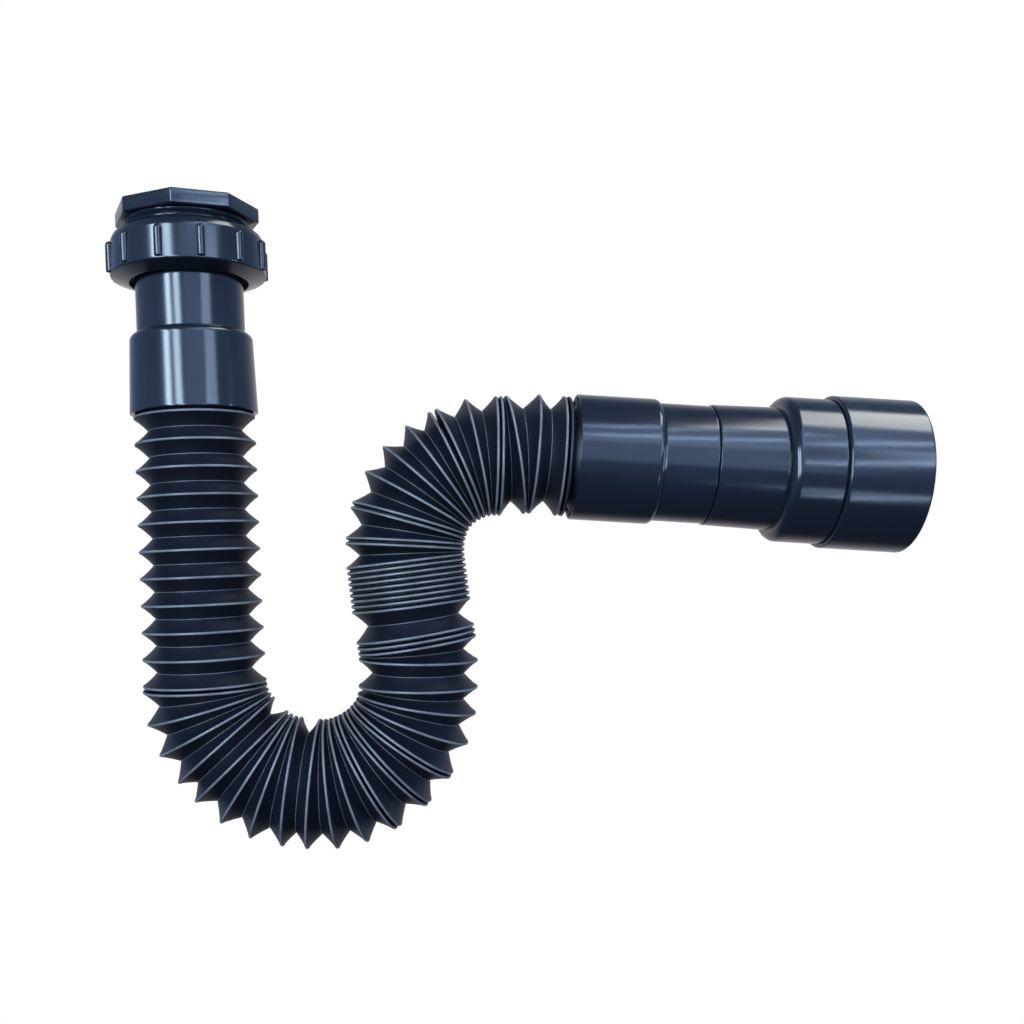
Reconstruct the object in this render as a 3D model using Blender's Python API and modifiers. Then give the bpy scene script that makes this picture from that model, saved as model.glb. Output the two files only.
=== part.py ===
"""Flexible sink trap: an octagonal threaded bush, a ribbed union nut, a rigid inlet spigot, a blow-moulded
bellows bent into a U and an elbow, and a push-fit outlet socket with its rubber lip seal.

Frame: metres, +Z up. The origin is the centre of the bush's top face, on the inlet axis. The hose lies in
the XZ plane: it drops from the inlet, turns back up in the U and leaves towards +X.
"""

import math

import bmesh
import bpy
from mathutils import Vector

# Clearances between neighbouring pieces
SEAT_GAP = 0.0003
BORE_PLAY = 0.0005
THREAD_PLAY = 0.0004

# Inlet spigot, whose 40 mm tube sets the radii of what fits on it
INLET_TUBE_RADIUS = 0.0200
INLET_TUBE_WALL = 0.0020
INLET_BORE_RADIUS = INLET_TUBE_RADIUS - INLET_TUBE_WALL
INLET_TUBE_SHOWN = 0.0191
FLANGE_STEP = 0.0022
FLANGE_RADIUS = INLET_TUBE_RADIUS + FLANGE_STEP
FLANGE_HEIGHT = 0.0025
PLAIN_END_STEP = 0.0012
PLAIN_END_RADIUS = INLET_TUBE_RADIUS + PLAIN_END_STEP
CUFF_BORE_RADIUS = PLAIN_END_RADIUS + BORE_PLAY
CUFF_TOP_WALL = 0.0011
CUFF_TOP_RADIUS = CUFF_BORE_RADIUS + CUFF_TOP_WALL
CUFF_MOUTH_WALL = 0.0020
CUFF_MOUTH_RADIUS = CUFF_BORE_RADIUS + CUFF_MOUTH_WALL
CUFF_SHOULDER_HEIGHT = 0.0033
CUFF_LENGTH = 0.0298
CUFF_FLOOR = 0.0036

# Threaded bush
THREAD_STEP = 0.0017
MALE_THREAD_RADIUS = FLANGE_RADIUS + THREAD_STEP
THREAD_SHOWN = 0.0040
THREAD_ENGAGED = 0.0078
BUSH_WALL = 0.0042
BUSH_BORE_RADIUS = MALE_THREAD_RADIUS - BUSH_WALL
BUSH_LIP_REACH = 0.0027
BUSH_LIP_RADIUS = BUSH_BORE_RADIUS - BUSH_LIP_REACH
BUSH_LIP_HEIGHT = 0.0020
BUSH_HEAD_STEP = 0.0011
BUSH_HEAD_HEIGHT = 0.0055
BUSH_CORNER_ROUND = 0.0006
BUSH_CORNER_TURN = math.radians(1.0)

# Rings inside the union
WASHER_HEIGHT = 0.0025
WASHER_REACH = 0.0010
GASKET_HEIGHT = 0.0025
SLIP_RING_HEIGHT = 0.0012

# Union nut
NUT_BORE_RADIUS = MALE_THREAD_RADIUS + THREAD_PLAY
NUT_SHOULDER_WALL = 0.0014
NUT_SHOULDER_RADIUS = NUT_BORE_RADIUS + NUT_SHOULDER_WALL
NUT_TOP_WALL = 0.0041
NUT_TOP_RADIUS = NUT_BORE_RADIUS + NUT_TOP_WALL
NUT_FOOT_WALL = 0.0045
NUT_FOOT_RADIUS = NUT_BORE_RADIUS + NUT_FOOT_WALL
NUT_SHOULDER_HEIGHT = 0.0034
NUT_SHOULDER_MIDDLE_WALL = 0.0032
NUT_SHOULDER_MIDDLE_RADIUS = NUT_BORE_RADIUS + NUT_SHOULDER_MIDDLE_WALL
NUT_SHOULDER_MIDDLE_DROP = 0.0014
NUT_LIP_HEIGHT = 0.0032
NUT_CONE_HEIGHT = 0.0025
NUT_HOLE_PLAY = 0.0020
NUT_HOLE_RADIUS = INLET_TUBE_RADIUS + NUT_HOLE_PLAY
RIB_COUNT = 12
RIB_TURN = math.radians(21.0)
RIB_RADIUS = 0.0015
RIB_PROUD = 0.0014
RIB_TOP_ROUND = 0.0009
RIB_TOP_DROP = 0.0040
RIB_FOOT_RISE = 0.0006

# Bellows
CREST_RADIUS = 0.0225
ROOT_RADIUS = 0.0173
BELLOWS_WALL = 0.0008
BELLOWS_STEPS = 20
FIRST_CREST_DROP = 0.0013
PLAIN_END_RISE = 0.0010
LAST_ROOT_STEP = 0.0019
LAST_PLAIN_STEP = 0.0039
OUTLET_END_LENGTH = 0.0240
U_SWELL = 0.08
U_SWELL_FIRST = 7
U_SWELL_LAST = 32

# How far each fold stands open, from crest to crest along its two sides
SHUT = 0.0019
PRESSED = 0.0018
STACKED = 0.0021
AJAR = 0.0030
SLACK = 0.0073
HALF = 0.0094
OPEN = 0.0100
OUTER = 0.0116
WIDE = 0.0125

# The folds in order as (how many, gap on the outer side of the U, gap on its inner side)
FOLDS = (
    (10, OPEN, OPEN),
    (1, STACKED, PRESSED),
    (3, WIDE, PRESSED),
    (1, HALF, SLACK),
    (3, WIDE, PRESSED),
    (1, HALF, SLACK),
    (3, OUTER, PRESSED),
    (1, STACKED, PRESSED),
    (1, WIDE, PRESSED),
    (1, SHUT, PRESSED),
    (1, OUTER, PRESSED),
    (1, SHUT, PRESSED),
    (1, WIDE, PRESSED),
    (1, OUTER, STACKED),
    (1, OPEN, AJAR),
    (1, OPEN, OPEN),
    (1, HALF, SHUT),
    (2, STACKED, STACKED),
    (1, OPEN, OUTER),
    (7, STACKED, STACKED),
    (1, PRESSED, STACKED),
    (1, SHUT, HALF),
    (1, PRESSED, STACKED),
    (1, SHUT, OUTER),
    (1, PRESSED, STACKED),
    (1, SHUT, WIDE),
    (2, SHUT, OUTER),
    (1, SHUT, OPEN),
    (1, SHUT, AJAR),
    (2, SHUT, OUTER),
    (1, PRESSED, SHUT),
    (1, HALF, SHUT),
    (1, PRESSED, WIDE),
    (1, OPEN, HALF),
    (1, STACKED, PRESSED),
)
ELBOW_FIRST = 44
ELBOW_LAST = 58

# Outlet collar
COLLAR_GAP = 0.0030
COLLAR_BORE_RADIUS = PLAIN_END_RADIUS + BORE_PLAY
COLLAR_WALL = 0.0018
COLLAR_RADIUS = COLLAR_BORE_RADIUS + COLLAR_WALL
COLLAR_LEAD_IN = 0.0040
COLLAR_MOUTH_FLARE = 0.0012
COLLAR_LENGTH = 0.0310
COLLAR_ROUND = 0.0026
COLLAR_ROUND_END = -65
OUTLET_TUBE_STEP = 0.0014
OUTLET_TUBE_RADIUS = COLLAR_RADIUS - OUTLET_TUBE_STEP
OUTLET_TUBE_LENGTH = 0.0190
TAIL_STEP = 0.0018
TAIL_RADIUS = OUTLET_TUBE_RADIUS - TAIL_STEP
TAIL_WALL = 0.0020
OUTLET_BORE_RADIUS = TAIL_RADIUS - TAIL_WALL
TAIL_LENGTH = 0.0180

# Outlet socket for a 50 mm drain pipe
NECK_BORE_RADIUS = TAIL_RADIUS + SEAT_GAP
NECK_START_WALL = 0.0020
NECK_END_WALL = 0.0025
NECK_END_RADIUS = NECK_BORE_RADIUS + NECK_END_WALL
NECK_LENGTH = 0.0243
PIPE_BORE_STEP = 0.0021
PIPE_BORE_RADIUS = NECK_END_RADIUS + PIPE_BORE_STEP
BARREL_WALL = 0.0012
BARREL_RADIUS = PIPE_BORE_RADIUS + BARREL_WALL
SOCKET_STEP = 0.0008
SOCKET_RADIUS = BARREL_RADIUS + SOCKET_STEP
SOCKET_LENGTH = 0.0194
SOCKET_ROUND = 0.0036
SOCKET_FLOOR = 0.0022
CAP_BORE_RADIUS = BARREL_RADIUS + SEAT_GAP
CAP_WALL = 0.0019
CAP_RADIUS = CAP_BORE_RADIUS + CAP_WALL
CAP_LENGTH = 0.0300
CAP_ROUND = 0.0010
CAP_LIP_HEIGHT = 0.0014
CAP_LIP_PLAY = 0.0002
CAP_LIP_RADIUS = PIPE_BORE_RADIUS + CAP_LIP_PLAY
SEAL_LENGTH = 0.0065
SEAL_REACH = 0.0006

# Facets
TURNED_STEPS = 28
NUT_STEPS = 36
RING_STEPS = 20
RIB_STEPS = 8
ROUND_STEPS = 3
MERGE_DISTANCE = 0.00001

# Heights worked out from the sizes above, from the bush's top face down
BUSH_HEAD_FOOT = -BUSH_HEAD_HEIGHT
NUT_TOP = BUSH_HEAD_FOOT - THREAD_SHOWN
BUSH_FOOT = NUT_TOP - THREAD_ENGAGED
GASKET_TOP = BUSH_FOOT - SEAT_GAP
FLANGE_TOP = GASKET_TOP - GASKET_HEIGHT - SEAT_GAP
FLANGE_FOOT = FLANGE_TOP - FLANGE_HEIGHT
SLIP_RING_TOP = FLANGE_FOOT - SEAT_GAP
NUT_LIP_TOP = SLIP_RING_TOP - SLIP_RING_HEIGHT - SEAT_GAP
NUT_FOOT = NUT_LIP_TOP - NUT_LIP_HEIGHT
CUFF_TOP = NUT_FOOT - INLET_TUBE_SHOWN
CUFF_MOUTH = CUFF_TOP - CUFF_LENGTH
BELLOWS_TOP = CUFF_TOP - CUFF_FLOOR - SEAT_GAP
FIRST_CREST = CUFF_MOUTH - FIRST_CREST_DROP


def empty_scene():
    """Removes what the file holds and makes the two collections."""
    for old in list(bpy.data.objects):
        bpy.data.objects.remove(old, do_unlink=True)
    parts = bpy.data.collections.new("flexible_sink_trap")
    cutters = bpy.data.collections.new("cutters")
    bpy.context.scene.collection.children.link(parts)
    bpy.context.scene.collection.children.link(cutters)
    return parts, cutters


def plastic(name, colour, roughness):
    """A plain, non-metallic material."""
    material = bpy.data.materials.new(name)
    material.use_nodes = True
    shader = material.node_tree.nodes["Principled BSDF"]
    shader.inputs["Base Color"].default_value = (*colour, 1.0)
    shader.inputs["Roughness"].default_value = roughness
    shader.inputs["Metallic"].default_value = 0.0
    return material


def add_object(collection, name, mesh, material=None):
    """Links a mesh to a collection as a named object."""
    placed = bpy.data.objects.new(name, mesh)
    if material is not None:
        mesh.materials.append(material)
    collection.objects.link(placed)
    return placed


def add_tool(collection, name, mesh):
    """Adds a shape that only cuts or joins another object."""
    tool = add_object(collection, name, mesh)
    tool.display_type = "WIRE"
    tool.hide_render = True
    return tool


def corner_arc(centre, radius, start, end):
    """Points of a quarter round on a profile, from one angle in degrees to another."""
    points = []
    for step in range(ROUND_STEPS + 1):
        angle = math.radians(start + (end - start) * step / ROUND_STEPS)
        points.append((centre[0] + radius * math.cos(angle), centre[1] + radius * math.sin(angle)))
    return points


def turned(collection, name, outline, material, steps=TURNED_STEPS):
    """A piece turned about Z from a closed outline of (radius, height) that runs down its outer side."""
    mesh = bpy.data.meshes.new(name)
    count = len(outline)
    mesh.from_pydata(
        [(radius, 0.0, height) for radius, height in outline],
        [(index, (index + 1) % count) for index in range(count)],
        [],
    )
    piece = add_object(collection, name, mesh, material)
    screw = piece.modifiers.new("Turn", "SCREW")
    screw.steps = steps
    screw.render_steps = steps
    screw.merge_threshold = MERGE_DISTANCE
    screw.use_merge_vertices = True
    return piece


def ring(collection, name, material, outer, inner, top, height):
    """A flat ring about Z."""
    foot = top - height
    outline = [(outer, top), (outer, foot), (inner, foot), (inner, top)]
    return turned(collection, name, outline, material, RING_STEPS)


def boolean(piece, operation, tool):
    """Joins a tool shape to a piece or cuts it away."""
    change = piece.modifiers.new(operation.title(), "BOOLEAN")
    change.operation = operation
    change.solver = "EXACT"
    change.object = tool


def cylinder(collection, name, radius, top, foot, segments):
    """An upright cylinder about Z, as a shape that only cuts or joins another object."""
    mesh = bpy.data.meshes.new(name)
    shape = bmesh.new()
    bmesh.ops.create_cone(
        shape, cap_ends=True, segments=segments, radius1=radius, radius2=radius, depth=top - foot
    )
    shape.to_mesh(mesh)
    shape.free()
    tool = add_tool(collection, name, mesh)
    tool.location = (0.0, 0.0, (top + foot) / 2)
    return tool


def make_bush(parts, cutters, material):
    """The octagonal bush: a head for a spanner, a male thread below it and a bore with a seat at its foot."""
    mesh = bpy.data.meshes.new("octagon_bush")
    shape = bmesh.new()
    corner_radius = (MALE_THREAD_RADIUS + BUSH_HEAD_STEP) / math.cos(math.pi / 8)
    bmesh.ops.create_cone(
        shape, cap_ends=True, segments=8, radius1=corner_radius, radius2=corner_radius, depth=BUSH_HEAD_HEIGHT
    )
    bmesh.ops.bevel(
        shape, geom=shape.edges[:], offset=BUSH_CORNER_ROUND, segments=2, profile=0.5, affect="EDGES"
    )
    bmesh.ops.translate(shape, verts=shape.verts[:], vec=(0.0, 0.0, BUSH_HEAD_FOOT + BUSH_HEAD_HEIGHT / 2))
    shape.to_mesh(mesh)
    shape.free()
    bush = add_object(parts, "octagon_bush", mesh, material)
    bush.rotation_euler = (0.0, 0.0, BUSH_CORNER_TURN)

    stem = cylinder(cutters, "bush_stem", MALE_THREAD_RADIUS, BUSH_HEAD_FOOT / 2, BUSH_FOOT, TURNED_STEPS)
    bore_floor = BUSH_FOOT + BUSH_LIP_HEIGHT
    bore = cylinder(cutters, "bush_bore", BUSH_BORE_RADIUS, BUSH_HEAD_HEIGHT, bore_floor, TURNED_STEPS)
    seat_foot = BUSH_FOOT - BUSH_LIP_HEIGHT
    seat = cylinder(cutters, "bush_seat", BUSH_LIP_RADIUS, BUSH_HEAD_HEIGHT, seat_foot, TURNED_STEPS)
    boolean(bush, "UNION", stem)
    boolean(bush, "DIFFERENCE", bore)
    boolean(bush, "DIFFERENCE", seat)
    return bush


def make_nut(parts, cutters, material):
    """The union nut: threaded inside, ribbed outside, with an in-turned lip at its foot."""
    shoulder_foot = NUT_TOP - NUT_SHOULDER_HEIGHT
    cone_top = NUT_FOOT + NUT_CONE_HEIGHT
    outline = [
        (NUT_SHOULDER_RADIUS, NUT_TOP),
        (NUT_SHOULDER_MIDDLE_RADIUS, NUT_TOP - NUT_SHOULDER_MIDDLE_DROP),
        (NUT_TOP_RADIUS, shoulder_foot),
        (NUT_FOOT_RADIUS, cone_top),
        (NUT_HOLE_RADIUS, NUT_FOOT),
        (NUT_HOLE_RADIUS, NUT_LIP_TOP),
        (NUT_BORE_RADIUS, NUT_LIP_TOP),
        (NUT_BORE_RADIUS, NUT_TOP),
    ]
    nut = turned(parts, "union_nut", outline, material, NUT_STEPS)

    rib_top = NUT_TOP - RIB_TOP_DROP
    rib_foot = cone_top + RIB_FOOT_RISE
    rib_axis = NUT_FOOT_RADIUS + RIB_PROUD - RIB_RADIUS
    ribs_mesh = bpy.data.meshes.new("nut_ribs")
    shape = bmesh.new()
    for index in range(RIB_COUNT):
        angle = RIB_TURN - math.pi / 2 + 2 * math.pi * index / RIB_COUNT
        made = bmesh.ops.create_cone(
            shape,
            cap_ends=True,
            segments=RIB_STEPS,
            radius1=RIB_RADIUS,
            radius2=RIB_RADIUS,
            depth=rib_top - rib_foot,
        )
        upper = [vert for vert in made["verts"] if vert.co.z > 0.0]
        for vert in made["verts"]:
            vert.co += Vector((rib_axis * math.cos(angle), rib_axis * math.sin(angle), (rib_top + rib_foot) / 2))
        rim = {edge for vert in upper for edge in vert.link_edges if edge.other_vert(vert) in upper}
        bmesh.ops.bevel(
            shape, geom=list(rim), offset=RIB_TOP_ROUND, segments=1, profile=0.5, affect="EDGES"
        )
    shape.to_mesh(ribs_mesh)
    shape.free()
    boolean(nut, "UNION", add_tool(cutters, "nut_ribs", ribs_mesh))
    return nut


def make_spigot(parts, material):
    """The inlet spigot: a flange under the nut, a 40 mm tube and the cuff that holds the bellows' end."""
    cuff_full = CUFF_TOP - CUFF_SHOULDER_HEIGHT
    cuff_floor = CUFF_TOP - CUFF_FLOOR
    round_radius = CUFF_TOP_RADIUS - INLET_TUBE_RADIUS
    shoulder = corner_arc((INLET_TUBE_RADIUS, CUFF_TOP - round_radius), round_radius, 90, 0)
    outline = [
        (FLANGE_RADIUS, FLANGE_TOP),
        (FLANGE_RADIUS, FLANGE_FOOT),
        (INLET_TUBE_RADIUS, FLANGE_FOOT),
        *shoulder,
        (CUFF_TOP_RADIUS, cuff_full),
        (CUFF_MOUTH_RADIUS, CUFF_MOUTH),
        (CUFF_BORE_RADIUS, CUFF_MOUTH),
        (CUFF_BORE_RADIUS, cuff_floor),
        (INLET_BORE_RADIUS, cuff_floor),
        (INLET_BORE_RADIUS, FLANGE_TOP),
    ]
    return turned(parts, "inlet_spigot", outline, material)


def swell(crest):
    """How much wider the hose stands across the U at a crest, as a factor."""
    if not U_SWELL_FIRST < crest < U_SWELL_LAST:
        return 1.0
    share = (crest - U_SWELL_FIRST) / (U_SWELL_LAST - U_SWELL_FIRST)
    return 1.0 + U_SWELL * math.sin(math.pi * share) ** 2


def walk_folds():
    """Follows the folds from the cuff and lists each crest's centre, its turn from straight down and its swell."""
    centre = Vector((0.0, 0.0, FIRST_CREST))
    turn = 0.0
    crest = 1
    crests = [(centre.copy(), turn, swell(crest))]
    for count, outer_gap, inner_gap in FOLDS:
        for _ in range(count):
            width = CREST_RADIUS * (swell(crest) + swell(crest + 1))
            bend = (outer_gap - inner_gap) / width
            heading = turn + bend / 2
            centre += Vector((math.sin(heading), 0.0, -math.cos(heading))) * (outer_gap + inner_gap) / 2
            turn += bend
            crest += 1
            crests.append((centre.copy(), turn, swell(crest)))
    return crests


def hose_sections(crests):
    """Every section of the bellows in order, as (centre, turn, half width in the U's plane, half width across)."""
    sections = [
        (Vector((0.0, 0.0, BELLOWS_TOP)), 0.0, PLAIN_END_RADIUS, PLAIN_END_RADIUS),
        (Vector((0.0, 0.0, FIRST_CREST + PLAIN_END_RISE)), 0.0, PLAIN_END_RADIUS, PLAIN_END_RADIUS),
    ]
    for index, (centre, turn, wide) in enumerate(crests):
        sections.append((centre, turn, CREST_RADIUS * wide, CREST_RADIUS))
        if index + 1 < len(crests):
            following, next_turn, next_wide = crests[index + 1]
            root_wide = ROOT_RADIUS * (wide + next_wide) / 2
            sections.append(((centre + following) / 2, (turn + next_turn) / 2, root_wide, ROOT_RADIUS))
    centre, turn, _ = crests[-1]
    along = Vector((math.sin(turn), 0.0, -math.cos(turn)))
    sections.append((centre + along * LAST_ROOT_STEP, turn, ROOT_RADIUS, ROOT_RADIUS))
    sections.append((centre + along * LAST_PLAIN_STEP, turn, PLAIN_END_RADIUS, PLAIN_END_RADIUS))
    sections.append((centre + along * OUTLET_END_LENGTH, turn, PLAIN_END_RADIUS, PLAIN_END_RADIUS))
    return sections


def make_bellows(parts, material, crests):
    """The blow-moulded bellows: a loft through its crests and roots, given its wall by Solidify."""
    shape = bmesh.new()
    loops = []
    for centre, turn, half_plane, half_across in hose_sections(crests):
        loop = []
        for step in range(BELLOWS_STEPS):
            angle = 2 * math.pi * step / BELLOWS_STEPS
            in_plane = half_plane * math.cos(angle)
            offset = Vector((in_plane * math.cos(turn), half_across * math.sin(angle), in_plane * math.sin(turn)))
            loop.append(shape.verts.new(centre + offset))
        loops.append(loop)
    for upper, lower in zip(loops, loops[1:]):
        for step in range(BELLOWS_STEPS):
            after = (step + 1) % BELLOWS_STEPS
            shape.faces.new((upper[step], lower[step], lower[after], upper[after]))
    mesh = bpy.data.meshes.new("bellows")
    shape.to_mesh(mesh)
    shape.free()
    bellows = add_object(parts, "bellows", mesh, material)
    wall = bellows.modifiers.new("Wall", "SOLIDIFY")
    wall.thickness = BELLOWS_WALL
    wall.offset = -1.0
    wall.use_rim = True
    return bellows


def make_outlet(parts, axis, crests, materials):
    """The rigid outlet, turned about its own axis with its mouth at height 0 and its drain end down."""
    plastic_grey, rubber = materials
    last_centre, turn, _ = crests[-1]
    along = Vector((math.sin(turn), 0.0, -math.cos(turn)))
    mouth = last_centre + along * COLLAR_GAP

    collar_foot = -COLLAR_LENGTH
    tube_foot = collar_foot - OUTLET_TUBE_LENGTH
    tail_foot = tube_foot - TAIL_LENGTH
    collar_floor = COLLAR_GAP - OUTLET_END_LENGTH - SEAT_GAP
    round_centre = (COLLAR_RADIUS - COLLAR_ROUND, collar_foot + COLLAR_ROUND)
    collar = turned(
        parts,
        "outlet_collar",
        [
            (COLLAR_RADIUS, 0.0),
            *corner_arc(round_centre, COLLAR_ROUND, 0, COLLAR_ROUND_END),
            (OUTLET_TUBE_RADIUS, collar_foot),
            (OUTLET_TUBE_RADIUS, tube_foot),
            (TAIL_RADIUS, tube_foot),
            (TAIL_RADIUS, tail_foot),
            (OUTLET_BORE_RADIUS, tail_foot),
            (OUTLET_BORE_RADIUS, collar_floor),
            (COLLAR_BORE_RADIUS, collar_floor),
            (COLLAR_BORE_RADIUS, -COLLAR_LEAD_IN),
            (COLLAR_BORE_RADIUS + COLLAR_MOUTH_FLARE, 0.0),
        ],
        plastic_grey,
    )

    neck_top = tube_foot - SEAT_GAP
    socket_top = neck_top - NECK_LENGTH
    socket_foot = socket_top - SOCKET_LENGTH
    cap_top = socket_foot - SEAT_GAP
    cap_foot = cap_top - CAP_LENGTH
    lip_top = cap_foot + CAP_LIP_HEIGHT
    seal_foot = lip_top + SEAT_GAP
    seal_top = seal_foot + SEAL_LENGTH
    barrel_foot = seal_top + SEAT_GAP
    shoulder_centre = (SOCKET_RADIUS - SOCKET_ROUND, socket_top - SOCKET_ROUND)
    body = turned(
        parts,
        "socket_body",
        [
            (NECK_BORE_RADIUS + NECK_START_WALL, neck_top),
            (NECK_END_RADIUS, socket_top),
            *corner_arc(shoulder_centre, SOCKET_ROUND, 90, 0),
            (SOCKET_RADIUS, socket_foot),
            (BARREL_RADIUS, socket_foot),
            (BARREL_RADIUS, barrel_foot),
            (PIPE_BORE_RADIUS, barrel_foot),
            (PIPE_BORE_RADIUS, socket_top - SOCKET_FLOOR),
            (NECK_BORE_RADIUS, socket_top - SOCKET_FLOOR),
            (NECK_BORE_RADIUS, neck_top),
        ],
        plastic_grey,
    )

    cap = turned(
        parts,
        "socket_cap",
        [
            (CAP_RADIUS - CAP_ROUND, cap_top),
            (CAP_RADIUS, cap_top - CAP_ROUND),
            (CAP_RADIUS, cap_foot),
            (CAP_LIP_RADIUS, cap_foot),
            (CAP_LIP_RADIUS, lip_top),
            (CAP_BORE_RADIUS, lip_top),
            (CAP_BORE_RADIUS, cap_top),
        ],
        plastic_grey,
    )
    seal = turned(
        parts,
        "lip_seal",
        [
            (BARREL_RADIUS, seal_top),
            (BARREL_RADIUS, seal_foot),
            (PIPE_BORE_RADIUS, seal_foot),
            (PIPE_BORE_RADIUS - SEAL_REACH, (seal_top + seal_foot) / 2),
            (PIPE_BORE_RADIUS, seal_top),
        ],
        rubber,
        RING_STEPS,
    )
    for piece in (collar, body, cap, seal):
        piece.parent = axis
        piece.location = mouth - axis.location
        piece.rotation_euler = (0.0, -turn, 0.0)


def main():
    """Builds every piece of the trap."""
    parts, cutters = empty_scene()
    graphite = plastic("graphite_plastic", (0.045, 0.062, 0.090), 0.22)
    satin = plastic("bellows_plastic", (0.012, 0.017, 0.026), 0.38)
    slip = plastic("slip_ring_plastic", (0.120, 0.135, 0.160), 0.35)
    rubber = plastic("seal_rubber", (0.010, 0.010, 0.011), 0.60)

    make_bush(parts, cutters, graphite)
    make_nut(parts, cutters, graphite)
    make_spigot(parts, graphite)
    washer_top = BUSH_FOOT + BUSH_LIP_HEIGHT + SEAT_GAP + WASHER_HEIGHT
    washer_radius = BUSH_BORE_RADIUS - BORE_PLAY
    washer_bore = BUSH_LIP_RADIUS - WASHER_REACH
    ring(parts, "inlet_washer", rubber, washer_radius, washer_bore, washer_top, WASHER_HEIGHT)
    ring(parts, "flat_gasket", rubber, FLANGE_RADIUS, INLET_BORE_RADIUS, GASKET_TOP, GASKET_HEIGHT)
    slip_bore = INLET_TUBE_RADIUS + BORE_PLAY
    slip_radius = MALE_THREAD_RADIUS - BORE_PLAY
    ring(parts, "slip_ring", slip, slip_radius, slip_bore, SLIP_RING_TOP, SLIP_RING_HEIGHT)

    crests = walk_folds()
    make_bellows(parts, satin, crests)
    elbow = [centre for centre, _, _ in crests[ELBOW_FIRST - 1 : ELBOW_LAST]]
    bend_axis = bpy.data.objects.new("outlet_bend_axis", None)
    bend_axis.location = sum(elbow, Vector()) / len(elbow)
    parts.objects.link(bend_axis)
    make_outlet(parts, bend_axis, crests, (graphite, rubber))


main()
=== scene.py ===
"""The look of the flexible sink trap: fine turned fittings, a blow-moulded bellows and a plain studio.

Everything is in metres in the row frame: +Z up along the inlet axis, the hose in the XZ plane and the drain
socket towards +X. The origin is the centre of the bush's top face.
"""

import logging
import math
from dataclasses import dataclass
from enum import Enum

import bmesh
import bpy
from mathutils import Matrix, Quaternion, Vector


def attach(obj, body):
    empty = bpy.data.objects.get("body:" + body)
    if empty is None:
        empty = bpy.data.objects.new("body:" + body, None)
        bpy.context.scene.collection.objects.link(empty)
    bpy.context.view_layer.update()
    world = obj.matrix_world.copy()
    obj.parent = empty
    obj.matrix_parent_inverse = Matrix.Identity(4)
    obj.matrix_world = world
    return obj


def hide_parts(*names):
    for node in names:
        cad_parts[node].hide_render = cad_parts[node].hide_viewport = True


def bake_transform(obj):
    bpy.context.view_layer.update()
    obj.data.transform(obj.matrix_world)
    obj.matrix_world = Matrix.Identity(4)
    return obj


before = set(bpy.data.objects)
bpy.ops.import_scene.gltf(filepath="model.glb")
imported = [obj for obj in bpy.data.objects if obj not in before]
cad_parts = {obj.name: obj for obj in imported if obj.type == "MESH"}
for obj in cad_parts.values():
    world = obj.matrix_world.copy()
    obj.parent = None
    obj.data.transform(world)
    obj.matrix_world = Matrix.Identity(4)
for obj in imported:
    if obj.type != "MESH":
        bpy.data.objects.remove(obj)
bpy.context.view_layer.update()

logging.basicConfig(level=logging.INFO, format="%(message)s")
LOG = logging.getLogger("sink_trap")

FULL_TURN = 2.0 * math.pi
SHARP = 38.0


class Slot(Enum):
    """The record's material slots."""

    GRAPHITE = "graphite_plastic"
    BELLOWS = "bellows_plastic"
    SLIP = "slip_ring_plastic"
    RUBBER = "seal_rubber"


def linear(code: str) -> tuple[float, float, float, float]:
    """Turns an sRGB hex colour to linear.

    Args:
        code: Six hex digits.

    Returns:
        The colour as linear red, green, blue and full alpha.
    """
    shares = [int(code[place : place + 2], 16) / 255.0 for place in (0, 2, 4)]
    made = [s / 12.92 if s <= 0.04045 else ((s + 0.055) / 1.055) ** 2.4 for s in shares]
    return made[0], made[1], made[2], 1.0


def add(
    tree: bpy.types.NodeTree, kind: str, inputs: dict | None = None, **settings: object
) -> bpy.types.Node:
    """Adds a node with its settings and links.

    Args:
        tree: The tree that takes the node.
        kind: The node type's name.
        inputs: Each input's name or number with its value, or the node or output that feeds it.
        settings: Attributes of the node.

    Returns:
        The new node.
    """
    node = tree.nodes.new(kind)
    for name, value in settings.items():
        setattr(node, name, value)
    for key, value in (inputs or {}).items():
        if isinstance(value, bpy.types.Node):
            value = value.outputs[0]
        if isinstance(value, bpy.types.NodeSocket):
            tree.links.new(value, node.inputs[key])
        else:
            node.inputs[key].default_value = value
    return node


@dataclass(frozen=True)
class Finish:
    """What every finish of the trap starts from."""

    name: str
    slot: Slot
    colour: str
    roughness: float

    def start(self) -> tuple[bpy.types.Material, bpy.types.Node, bpy.types.NodeSocket]:
        """Makes the material with its plain values.

        Returns:
            The material, its Principled node and the Object coordinates.
        """
        material = bpy.data.materials.new(self.name)
        material.use_nodes = True
        shader = material.node_tree.nodes["Principled BSDF"]
        shader.inputs["Base Color"].default_value = linear(self.colour)
        shader.inputs["Roughness"].default_value = self.roughness
        place = add(material.node_tree, "ShaderNodeTexCoord").outputs["Object"]
        return material, shader, place


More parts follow.
